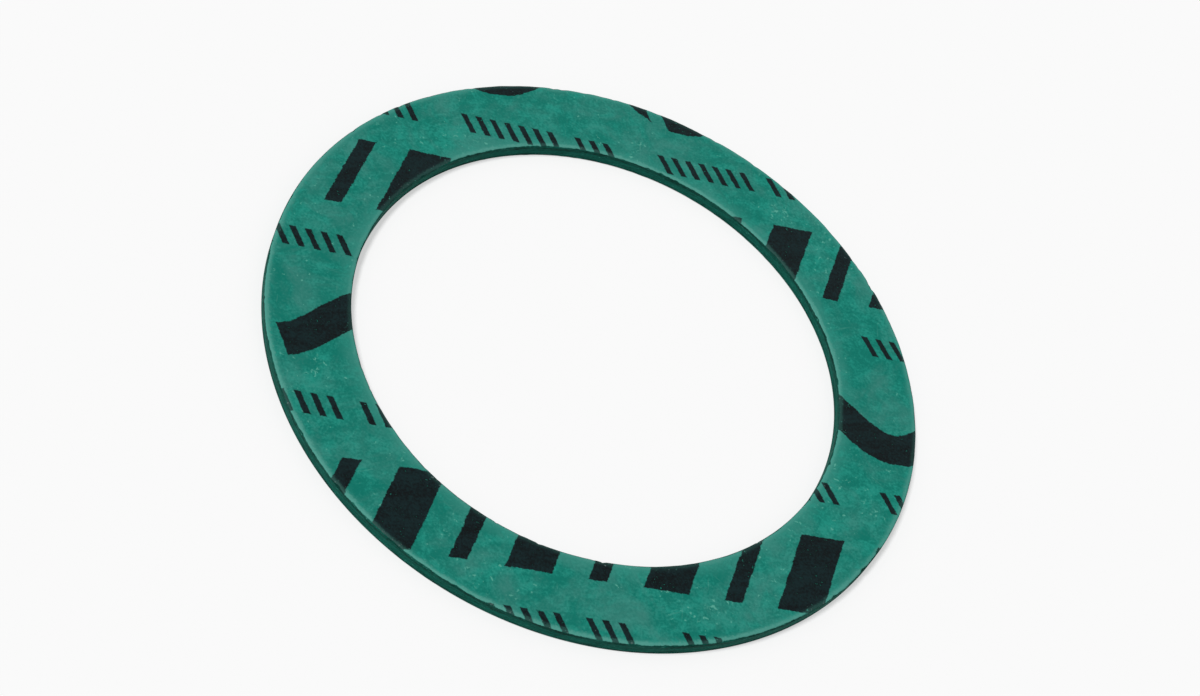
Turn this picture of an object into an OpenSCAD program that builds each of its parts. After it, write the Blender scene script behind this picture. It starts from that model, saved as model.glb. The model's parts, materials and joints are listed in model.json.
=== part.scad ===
// Flat ring gasket, die-cut from a sheet of compressed fibre.
// The axis of the ring is Z and the back face lies on Z = 0, with the printed face up.

/* [Ring] */
// Outer diameter, on the straight part of the rim
outer_d = 76.2; // [70:0.1:120]
// Bore diameter, on the straight part of the bore wall
bore_d = 57.15; // [30:0.05:64]
// Thickness of the fibre sheet
sheet_t = 1.6; // [0.8:0.1:3.2]

/* [Cut edges] */
// Radial width of the arris that the die presses down on the printed face
roll_w = 0.3; // [0.15:0.05:0.6]
// Depth of that arris below the printed face
roll_h = 0.14; // [0.04:0.02:0.24]
// Leg of the small break where the die leaves the back face
back_break = 0.08; // [0.02:0.02:0.2]

/* [Hidden] */
$fn = 180;
// Colour of the fibre sheet
fibre_green = [0.14, 0.49, 0.44];
// Radii of the rim and of the bore
outer_r = outer_d / 2;
bore_r = bore_d / 2;
// Radius of the arc that leaves the printed face level and drops roll_h over roll_w
roll_r = (pow(roll_w, 2) + pow(roll_h, 2)) / (2 * roll_h);

// Waste over the pressed-down arris, with the wall on X = 0 and the printed face on Y = 0.
// It runs past both by the arris's own width and depth.
module arris_waste() {
    translate([-roll_w, 0])
        difference() {
            translate([0, -roll_h]) square([2 * roll_w, 2 * roll_h]);
            translate([0, -roll_r]) circle(roll_r);
        }
}

// Waste under the break at the back face, with the wall on X = 0 and the back face on Y = 0.
// It runs past both by the break's own leg.
module break_waste() {
    polygon([
        [-2 * back_break, -back_break],
        [back_break, -back_break],
        [back_break, 2 * back_break]
    ]);
}

// Both edges of a cut wall that stands on X = 0 and faces +X
module wall_waste() {
    translate([0, sheet_t]) arris_waste();
    break_waste();
}

// Section of the ring, with X as the radius and Y as the height
module cut_section() {
    difference() {
        translate([bore_r, 0]) square([outer_r - bore_r, sheet_t]);
        translate([outer_r, 0]) wall_waste();
        translate([bore_r, 0]) mirror([1, 0]) wall_waste();
    }
}

// The ring itself, one solid of revolution
module gasket_ring() {
    color(fibre_green) rotate_extrude() cut_section();
}

gasket_ring();
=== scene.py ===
import json
import math

import bpy
import numpy as np
from mathutils import Matrix, Vector


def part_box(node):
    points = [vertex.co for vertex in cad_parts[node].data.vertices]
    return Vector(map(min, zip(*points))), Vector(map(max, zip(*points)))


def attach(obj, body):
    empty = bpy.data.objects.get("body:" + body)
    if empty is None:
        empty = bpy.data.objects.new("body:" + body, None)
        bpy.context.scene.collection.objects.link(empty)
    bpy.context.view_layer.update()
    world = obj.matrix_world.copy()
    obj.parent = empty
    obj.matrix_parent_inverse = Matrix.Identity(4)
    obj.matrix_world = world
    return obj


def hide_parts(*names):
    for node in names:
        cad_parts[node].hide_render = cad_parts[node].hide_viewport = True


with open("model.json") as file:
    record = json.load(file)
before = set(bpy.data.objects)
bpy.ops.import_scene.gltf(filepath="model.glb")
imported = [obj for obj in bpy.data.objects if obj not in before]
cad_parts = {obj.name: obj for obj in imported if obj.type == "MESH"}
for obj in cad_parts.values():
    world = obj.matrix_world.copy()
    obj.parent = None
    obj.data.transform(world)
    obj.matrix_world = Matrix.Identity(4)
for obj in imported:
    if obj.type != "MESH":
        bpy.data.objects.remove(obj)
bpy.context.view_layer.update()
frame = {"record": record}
bpy.context.scene.view_settings.view_transform = "Standard"

# The ring: a flat gasket of compressed fibre sheet, aramid and mineral fibre bound with green nitrile
# rubber. One stroke of a steel-rule die cuts rim and bore. The die presses the printed face's edges down
# as it enters and tears the last fibres at the back, so both cut walls are darker and rougher.
MM = 0.001
mounts = {mount["name"]: mount for mount in frame["record"]["mounts"]}
rim_r = mounts["rim"]["dims"]["r_mm"] * MM
bore_r = mounts["bore"]["dims"]["r_mm"] * MM
sheet_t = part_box("gasket_ring")[1].z
arris_w = 0.30 * MM
arris_h = 0.14 * MM
back_break = 0.08 * MM
wall_tear = 0.030 * MM
face_dip = 0.010 * MM
nick_depth = 0.16 * MM
nicks_per_edge = 46

stations = 990
arris_points = 7
wall_points = 13
printed_points = 36
back_points = 20
turn = np.arange(stations) * 2 * np.pi / stations


def wandering(seed, columns, reach_round, reach_across=0):
    """White noise on the grid of stations and columns, blurred by a Gaussian of these reaches in grid
    steps. The blur is done in the frequency domain, so it closes round the ring. The standard deviation
    of the result is one."""
    grain = np.random.default_rng(seed).standard_normal((stations, columns))
    round_wave = np.fft.fftfreq(stations)[:, None] * reach_round
    across_wave = np.fft.fftfreq(columns)[None, :] * reach_across
    blur = np.exp(-2 * np.pi ** 2 * (round_wave ** 2 + across_wave ** 2))
    field = np.fft.ifft2(np.fft.fft2(grain) * blur).real
    return field / field.std()


def nicks(seed):
    """Small dents along an edge: at each seeded angle a bell curve, up to nick_depth deep and about
    1 mm long."""
    draw = np.random.default_rng(seed)
    middle = draw.uniform(0, 2 * np.pi, nicks_per_edge)
    depth = nick_depth * draw.uniform(0.3, 1, nicks_per_edge) ** 2
    reach = draw.uniform(0.15, 0.5, nicks_per_edge) * MM / rim_r
    away = (turn[:, None] - middle + np.pi) % (2 * np.pi) - np.pi
    return (depth * np.exp(-(away / reach) ** 2)).sum(axis=1, keepdims=True)


def cut_edge(seed):
    """One cut edge at every station, as its inset from the wall's plane and its drop below the printed
    face. The arris is a circle's arc that leaves the face level, scaled to a width and a depth that wander
    along the edge. The wall below it is torn inwards by noise that grows towards the back. The last point
    is the foot of the break at the back."""
    swing = np.linspace(0, 2 * math.atan2(arris_h, arris_w), arris_points)
    run = np.sin(swing) / np.sin(swing[-1])
    fall = (1 - np.cos(swing)) / (1 - np.cos(swing[-1]))
    dent = nicks(seed)
    slow_wander = 0.16 * wandering(seed + 1, 1, 9)
    quick_wander = 0.10 * wandering(seed + 2, 1, 1.5)
    wander = np.clip(1 + slow_wander + quick_wander, 0.5, 1.6)
    width = arris_w * wander + 1.4 * dent
    depth = arris_h * wander + dent
    level = np.linspace(0, 1, wall_points + 1)[1:]
    layers = np.abs(wandering(seed + 3, wall_points, 16, 0.7))
    fibres = np.abs(wandering(seed + 4, wall_points, 1.1, 0.8))
    tear = wall_tear * (0.35 + 0.65 * level) * (0.55 * layers + 0.45 * fibres) * (level < 1)
    foot = back_break * np.clip(1 + 0.3 * wandering(seed + 5, 1, 2), 0.4, 2)
    inset = np.hstack([width * (1 - run), tear, foot])
    wall_drop = depth + (sheet_t - back_break - depth) * level
    drop = np.hstack([depth * fall, wall_drop, np.full((stations, 1), sheet_t)])
    return inset, drop


def across_face(start, end, points, seed):
    """Radii from start to end, both left out, and the shallow dips of the calendered skin there: the size
    of two blurred noises, fine and broad, which fades out at both ends."""
    share = np.linspace(0, 1, points + 2)[1:-1]
    dips = np.abs(0.6 * wandering(seed, points, 2.2, 2.2) + 0.4 * wandering(seed + 1, points, 11, 7))
    return start + (end - start) * share, face_dip * dips * np.sin(np.pi * share) ** 0.3


rim_inset, rim_drop = cut_edge(seed=10)
bore_inset, bore_drop = cut_edge(seed=20)
rim_edge_r = rim_r - rim_inset
bore_edge_r = bore_r + bore_inset
printed_r, printed_dip = across_face(bore_edge_r[:, :1], rim_edge_r[:, :1], printed_points, seed=30)
back_r, back_dip = across_face(rim_edge_r[:, -1:], bore_edge_r[:, -1:], back_points, seed=40)
section_r = np.hstack([back_r, bore_edge_r[:, ::-1], printed_r, rim_edge_r])
section_z = np.hstack([back_dip, sheet_t - bore_drop[:, ::-1], sheet_t - printed_dip, sheet_t - rim_drop])

section_points = section_r.shape[1]
round_x = section_r * np.cos(turn)[:, None]
round_y = section_r * np.sin(turn)[:, None]
vertices = np.stack([round_x, round_y, section_z], axis=-1).reshape(-1, 3)
station, point = np.indices((stations, section_points)).reshape(2, -1, 1)
corner_station = station + np.array([0, 0, 1, 1])
corner_point = point + np.array([0, 1, 1, 0])
quads = corner_station % stations * section_points + corner_point % section_points

ring_mesh = bpy.data.meshes.new("gasket_ring_sheet")
ring_mesh.from_pydata(vertices, [], quads)
ring_mesh.polygons.foreach_set("use_smooth", np.ones(len(quads), bool))
ring_mesh.set_sharp_from_angle(angle=math.radians(38))

# The ring's map: cut along the rim's back edge and at three stations, and unrolled, each third in a row
# of its own.
rows = 3
row_gap = 0.004
run_r = np.diff(section_r[0], append=section_r[0, 0])
run_z = np.diff(section_z[0], append=section_z[0, 0])
steps = np.hypot(run_r, run_z)
distance = np.concatenate([[0], np.cumsum(steps)]) / steps.sum()
row_stations = stations // rows
map_row = station // row_stations
map_u = (corner_station - map_row * row_stations) / row_stations
map_v = (map_row + row_gap + (1 - 2 * row_gap) * distance[corner_point]) / rows
unrolled = ring_mesh.uv_layers.new(name="OFBake")
unrolled.uv.foreach_set("vector", np.stack([map_u, map_v], axis=-1).ravel())

ring = bpy.data.objects.new("gasket_ring_sheet", ring_mesh)
bpy.context.scene.collection.objects.link(ring)


class Wire:
    """One output of a shader node. Arithmetic on it adds Math nodes to its tree."""

    def __init__(self, socket):
        self.socket = socket

    def node(self, kind, settings, sockets, output=0):
        """Adds a node: its settings first, then a value or a wire for each socket. Gives one output."""
        tree = self.socket.id_data
        made = tree.nodes.new(kind)
        for name, value in settings.items():
            setattr(made, name, value)
        for key, value in sockets.items():
            if isinstance(value, Wire):
                tree.links.new(value.socket, made.inputs[key])
            else:
                made.inputs[key].default_value = value
        return Wire(made.outputs[output]) if made.outputs else None

    def math(self, operation, *others):
        return self.node("ShaderNodeMath", {"operation": operation}, dict(enumerate((self, *others))))

    def __add__(self, other):
        return self.math("ADD", other)

    def __sub__(self, other):
        return self.math("SUBTRACT", other)

    def __rsub__(self, other):
        return self.node("ShaderNodeMath", {"operation": "SUBTRACT"}, {0: other, 1: self})

    def __mul__(self, other):
        return self.math("MULTIPLY", other)

    def __truediv__(self, other):
        return self.math("DIVIDE", other)

    def __pow__(self, other):
        return self.math("POWER", other)

    def __abs__(self):
        return self.math("ABSOLUTE")

    __radd__ = __add__
    __rmul__ = __mul__

    def least(self, other):
        return self.math("MINIMUM", other)

    def most(self, other):
        return self.math("MAXIMUM", other)

    def step(self, low, high):
        """A smooth step from 0 at low to 1 at high."""
        sockets = {"Value": self, "From Min": low, "From Max": high}
        return self.node("ShaderNodeMapRange", {"interpolation_type": "SMOOTHSTEP"}, sockets)

    def repeat(self, period):
        """The distance to the nearest whole period, with its sign."""
        return (self + period / 2).math("FLOORED_MODULO", period) - period / 2

    def tint(self, under, over):
        """The colour under, covered by the colour over as far as this wire says. A Mix node keeps its two
        colours at inputs 6 and 7 and the mixed one at output 2."""
        return self.node("ShaderNodeMix", {"data_type": "RGBA"}, {0: self, 6: under, 7: over}, 2)

    def axis(self, index):
        return self.node("ShaderNodeSeparateXYZ", {}, {0: self}, index)

    def stretch(self, *factors):
        return self.node("ShaderNodeVectorMath", {"operation": "MULTIPLY"}, {0: self, 1: factors})

    def turned(self, degrees):
        sockets = {"Vector": self, "Rotation": (0, 0, math.radians(degrees))}
        return self.node("ShaderNodeMapping", {}, sockets)

    def noise(self, waves, detail=2, roughness=0.5, warp=0):
        """Cloud noise round zero, with this number of waves in one unit of this vector."""
        sockets = {
            "Vector": self,
            "Scale": waves,
            "Detail": detail,
            "Roughness": roughness,
            "Distortion": warp,
        }
        return self.node("ShaderNodeTexNoise", {}, sockets) - 0.5


def paint(red, green, blue):
    """An sRGB colour in steps of 255, as the linear colour that a socket takes."""
    share = np.array([red, green, blue]) / 255
    linear = np.where(share <= 0.04045, share / 12.92, ((share + 0.055) / 1.055) ** 2.4)
    return (*linear.tolist(), 1)


# The sheet's finish works in millimetres: x and y across the face, z through the sheet. Grain, mottle and
# clouds are the three sizes of its unevenness. The faces meet the walls along lines that the grain makes
# ragged.
fibre_sheet = bpy.data.materials.new("fibre_sheet")
fibre_sheet.use_nodes = True
fibre_sheet.node_tree.nodes.clear()
coordinates = fibre_sheet.node_tree.nodes.new("ShaderNodeTexCoord").outputs
place = Wire(coordinates["Object"]).stretch(1 / MM, 1 / MM, 1 / MM)
x, y, z = (place.axis(index) for index in range(3))
radius = (x * x + y * y) ** 0.5
from_edge = (rim_r / MM - radius).least(radius - bore_r / MM)
top = sheet_t / MM
grain = place.noise(3.2, detail=3, roughness=0.6)
mottle = place.noise(0.55, detail=5, roughness=0.66, warp=0.7)
clouds = place.noise(0.10, detail=3, roughness=0.55, warp=0.4)
on_printed = (z + grain * 0.10).step(top - 0.11, top - 0.05)
on_back = (z + grain * 0.06).step(0.06, 0.02)
on_wall = (1 - on_printed) * (1 - on_back)


def straight_fibres(lie):
    """Short straight fibres that lie at this angle: noise drawn out along it, kept only at its peaks."""
    drawn_out = place.turned(lie).stretch(0.30, 2.6, 1.0)
    return drawn_out.noise(1.0, warp=0.3).step(0.20, 0.30)


# Printed face: cloudy green skin with drawn-out streaks along the rolling direction, a film of dust, a
# paler band beside both edges, broader at the bore, that is partly rubbing and partly a painted sheen of
# the pressed-down edges, straight fibres just under the surface, and small pale and dark specks.
rolling_direction = -38
streaks = place.turned(rolling_direction).stretch(0.16, 1.0, 1.0).noise(0.9, detail=4, roughness=0.65)
shade = place.noise(0.035, detail=1) * 0.5 + clouds * 0.7 + mottle * 2.2 + streaks + grain * 1.5
skin = shade.step(-0.27, 0.63).tint(paint(11, 113, 99), paint(33, 141, 125))
dust = place.noise(0.20, detail=5, roughness=0.62, warp=0.6) + grain * 0.3
skin = (dust.step(-0.12, 0.28) * 0.66).tint(skin, paint(67, 132, 122))
middle_r = (rim_r + bore_r) / 2 / MM
by_bore = (radius - middle_r).step(2.0, -2.0)
# paler band beside both edges: partly rubbing, partly a painted sheen of the pressed-down edges
rubbed_and_sheen = ((from_edge + mottle * 2.2) / (1 + by_bore * 1.4)).step(1.0, 0.0)
skin = (rubbed_and_sheen * 0.6).tint(skin, paint(58, 138, 125))
fibres = sum(straight_fibres(lie) for lie in (12, 68, 131))
skin = (fibres * 0.22).tint(skin, paint(92, 162, 148))
pale_specks = (place.noise(1.6, detail=3, roughness=0.6, warp=0.4) + clouds * 0.4).step(0.17, 0.26)
skin = (pale_specks * 0.75).tint(skin, paint(94, 172, 153))
dark_specks = place.noise(2.4, warp=0.3).step(-0.21, -0.29)
skin = (dark_specks * 0.4).tint(skin, paint(6, 74, 66))

# Print: rows of plain black marks that the cuts run through at random. A broad wave, a row of leaning
# bars, and between them blocks of small slanting ticks. Each mark is the distance to its outline, negative
# inside it.
row_pitch = 44.0
marked = place.turned(-24)
along = marked.axis(0) + 7.0
up = marked.axis(1) + 4.0

wave_rate = 2 * math.pi / 24.0
wave_height = 3.4
wave_half_width = 2.1
wave_gap = 1.8
wave_gap_pitch = 31.0
swell = (along * wave_rate).math("SINE") * wave_height
slope = (along * wave_rate).math("COSINE") * (wave_height * wave_rate)
wave = abs(up.repeat(row_pitch) - swell) / (1 + slope * slope) ** 0.5 - wave_half_width
wave = wave.most(wave_gap / 2 - abs((along + up * 0.4).repeat(wave_gap_pitch)))

bar_pitch = 15.0
bar_height = 10.0
thick_bar = 5.0
thin_bar = 2.0
bar_up = (up - row_pitch / 2).repeat(row_pitch)
bar_along = along - bar_up * 0.36
thick_bars = abs(bar_along.repeat(bar_pitch)) - thick_bar / 2
thin_bars = abs((bar_along - bar_pitch / 2).repeat(bar_pitch)) - thin_bar / 2
bars = thick_bars.least(thin_bars).most(abs(bar_up) - bar_height / 2)

tick_pitch = 1.75
tick_width = 0.76
tick_height = 2.7
block_pitch = 14 * tick_pitch
block_length = 11 * tick_pitch
block_gap = 1.4
tick_up = (up - row_pitch / 4).repeat(row_pitch / 2)
tick_along = along + tick_up * 0.45
ticks = (abs(tick_along.repeat(tick_pitch)) - tick_width / 2).most(abs(tick_up) - tick_height / 2)
ticks = ticks.most(abs(tick_along.repeat(block_pitch)) - block_length / 2)
ticks = ticks.most(block_gap / 2 - abs((tick_along - 2 * tick_pitch).repeat(block_pitch)))

# Ink: its outlines are ragged, it misses the skin's small dips, and it is scuffed near the edges. The face
# is paler along both edges, partly from wear and partly as a painted highlight on the arris; the painted
# highlight is strongest on the edges that face the front: the rim's at the front and the bore's at the
# back.
ragged = place.noise(3.4, detail=3, roughness=0.6) * 0.36 + place.noise(0.8) * 0.36
marks = (wave.least(bars) + ragged).least(ticks + ragged * 0.6)
missed = (grain + mottle * 0.5).step(-0.16, -0.28)
ink = marks.step(0.07, -0.07) * (1 - missed * 0.8)
black = (streaks + grain * 1.5 + mottle).step(-0.35, 0.35).tint(paint(0, 4, 6), paint(12, 32, 34))
printed = ink.tint(skin, black)
# painted highlight, strongest on the edges that face the front
front_facing_highlight = (y / radius * (by_bore * 2 - 1)).step(-0.4, 1.0)
# pale band at the arris: partly wear, partly painted highlight
wear_and_highlight = (from_edge + grain * 0.9 + mottle * 0.7).step(0.66, 0.22)
printed = (wear_and_highlight * (0.34 + front_facing_highlight * 0.40) * (1 - ink * 0.75)).tint(printed, paint(86, 156, 143))
scratches = place.noise(1.2, detail=3, roughness=0.6, warp=1.0)
scuffs = (grain * 1.3 + scratches - from_edge * 0.16).step(0.17, 0.27)
printed = (scuffs * ink * 0.5).tint(printed, paint(112, 132, 128))

# Cut walls: layers of the sheet's dark heart with pale fibre ends. Their dark green is partly the cut
# sheet's own and partly painted shade, and they are darker still towards both faces, which is painted shade
# under the arris and at the foot on the table.
layers = place.stretch(0.4, 0.4, 4.0).noise(1.0, detail=4, roughness=0.65)
fibre_ends = place.stretch(1.0, 1.0, 2.0).noise(2.6, detail=4, roughness=0.65)
# lighter middle of the wall; its darker top and foot are painted shade
unshaded_middle = abs(z / top - 0.45).step(0.42, 0.10)
wall = (layers * 1.8 + fibre_ends * 1.2 + unshaded_middle * 0.3 - 0.1).step(-0.5, 0.5)
# dark green: partly the cut's own colour, partly painted shade
wall = wall.tint(paint(0, 44, 37), paint(12, 90, 77))
wall = ((fibre_ends + layers * 0.6).step(0.15, 0.29) * 0.8).tint(wall, paint(70, 142, 127))

# Back face: deeper green, with a thin grey bloom, thicker beside the edges, that is partly the powder that
# parts rolled sheets and partly a painted sheen, and pale flecks of the powder, clustered and strewn.
powder = place.noise(0.18, detail=3, roughness=0.55, warp=0.5)
flecks = (place.noise(1.5, detail=3, roughness=0.6, warp=0.2) + powder * 0.8).step(0.10, 0.27)
strewn = (place.noise(2.6, warp=0.2) + powder * 0.4).step(0.14, 0.26)
back = (clouds * 1.4 + mottle * 1.8 + grain).step(-0.6, 0.6).tint(paint(0, 96, 84), paint(22, 124, 110))
edge_bloom = (from_edge + mottle * 3.0).step(2.4, 0.0) * 0.2
# grey bloom: partly powder, partly painted sheen
bloom_and_sheen = (place.noise(0.13, detail=4, roughness=0.6, warp=0.8) + edge_bloom).step(-0.05, 0.30)
back = (bloom_and_sheen * 0.55).tint(back, paint(72, 138, 127))
back = (flecks.most(strewn * 0.8) * 0.8).tint(back, paint(116, 186, 170))

colour = on_back.tint(on_printed.tint(wall, printed), back)
inked = ink * on_printed
roughness = 0.62 + mottle * 0.25 + grain * 0.2 - inked * 0.10 + on_wall * 0.18
wall_relief = (layers + fibre_ends * 0.4) * on_wall * 1.2
relief = grain * 0.5 + mottle * 0.4 + streaks * 0.3 + inked * 0.15 + wall_relief
normal = place.node("ShaderNodeBump", {}, {"Strength": 1.0, "Distance": 0.05 * MM, "Height": relief})
finish = {"Base Color": colour, "Roughness": roughness, "Normal": normal, "Specular IOR Level": 0.08}
shader = place.node("ShaderNodeBsdfPrincipled", {}, finish)
place.node("ShaderNodeOutputMaterial", {}, {"Surface": shader})
ring_mesh.materials.append(fibre_sheet)
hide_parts("gasket_ring")
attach(ring, "root")

# The floor: a plain white table under the ring, which stays white for the camera and keeps the ring's
# shadow. It has a slot where the ring covers it and can't be seen from below, so that the back face shows
# from there.
floor_reach = 3.0
floor_drop = 0.02 * MM
slot_inset = 0.2 * MM
floor_steps = 180
floor_white = 0.95
glow_share = 0.5
floor_turn = np.arange(floor_steps) * 2 * np.pi / floor_steps
floor_r = np.array([[bore_r + slot_inset], [rim_r - slot_inset], [floor_reach]])
floor_z = np.full((len(floor_r), floor_steps), -floor_drop)
floor_grid = np.stack([floor_r * np.cos(floor_turn), floor_r * np.sin(floor_turn), floor_z], axis=-1)
inside = np.arange(floor_steps)
slot_edge = inside + floor_steps
slot_next = (inside + 1) % floor_steps + floor_steps
apron = np.stack([slot_edge, slot_edge + floor_steps, slot_next + floor_steps, slot_next], axis=-1)
floor_mesh = bpy.data.meshes.new("floor")
floor_mesh.from_pydata(floor_grid.reshape(-1, 3), [], [inside.tolist()] + apron.tolist())
floor = bpy.data.objects.new("floor", floor_mesh)
bpy.context.scene.collection.objects.link(floor)


def seen_directly(tree):
    """One for the rays that show a background: the camera's own, mirrored ones and those through glass."""
    rays = tree.nodes.new("ShaderNodeLightPath").outputs
    kinds = ("Camera", "Glossy", "Transmission")
    camera_ray, mirrored, through = (Wire(rays[f"Is {kind} Ray"]) for kind in kinds)
    return camera_ray.most(mirrored).most(through)


white_table = bpy.data.materials.new("white_table")
white_table.use_nodes = True
white_table.node_tree.nodes.clear()
direct = seen_directly(white_table.node_tree)
matt_white = direct.node("ShaderNodeBsdfDiffuse", {}, {"Color": (floor_white, floor_white, floor_white, 1)})
glow = direct.node("ShaderNodeEmission", {}, {"Color": (1, 1, 1, 1), "Strength": 1.0})
table = direct.node("ShaderNodeMixShader", {}, {0: direct * glow_share, 1: matt_white, 2: glow})
from_below = direct.node("ShaderNodeNewGeometry", {}, {}, "Backfacing")
clear = direct.node("ShaderNodeBsdfTransparent", {}, {})
table = direct.node("ShaderNodeMixShader", {}, {0: from_below, 1: table, 2: clear})
direct.node("ShaderNodeOutputMaterial", {}, {"Surface": table})
floor_mesh.materials.append(white_table)

# The light: an even room, and one broad soft lamp high on the left and a little in front, so far off that
# it lights the whole table alike. Its twin under the table lights only the back face.
room_share = 0.30
lamp_share = 0.66
lamp_width = math.radians(18)
lamp_side = Vector((-0.36, -0.26, 0.85)).normalized()
room = bpy.data.worlds.new("room")
room.use_nodes = True
room.node_tree.nodes.clear()
direct = seen_directly(room.node_tree)
strength = room_share + direct * (1 - room_share)
sky = direct.node("ShaderNodeBackground", {}, {"Color": (1, 1, 1, 1), "Strength": strength})
direct.node("ShaderNodeOutputWorld", {}, {"Surface": sky})
bpy.context.scene.world = room

for name, side in [("soft_lamp", lamp_side), ("soft_lamp_below", -lamp_side)]:
    soft_sun = bpy.data.lights.new(name, "SUN")
    soft_sun.angle = lamp_width
    soft_sun.energy = lamp_share * math.pi / lamp_side.z
    lamp = bpy.data.objects.new(name, soft_sun)
    lamp.matrix_world = side.to_track_quat("Z", "Y").to_matrix().to_4x4()
    bpy.context.scene.collection.objects.link(lamp)

# The camera: looks down on the ring from the front, rolled so that the ring's long axis falls to the right.
camera_height = math.radians(48.4)
camera_reach = 6.83 * rim_r
camera_roll = math.radians(29)
target = Vector((0, 0, sheet_t / 2))
towards = Vector((0, -math.cos(camera_height), math.sin(camera_height)))
lens = bpy.data.cameras.new("camera")
lens.sensor_width = 36
lens.lens = 70
lens.clip_start = 0.01
lens.clip_end = 20
camera = bpy.data.objects.new("camera", lens)
levelled = towards.to_track_quat("Z", "Y").to_matrix().to_4x4()
rolled = levelled @ Matrix.Rotation(camera_roll, 4, "Z")
camera.matrix_world = Matrix.Translation(target + towards * camera_reach) @ rolled
bpy.context.scene.collection.objects.link(camera)
bpy.context.scene.camera = camera
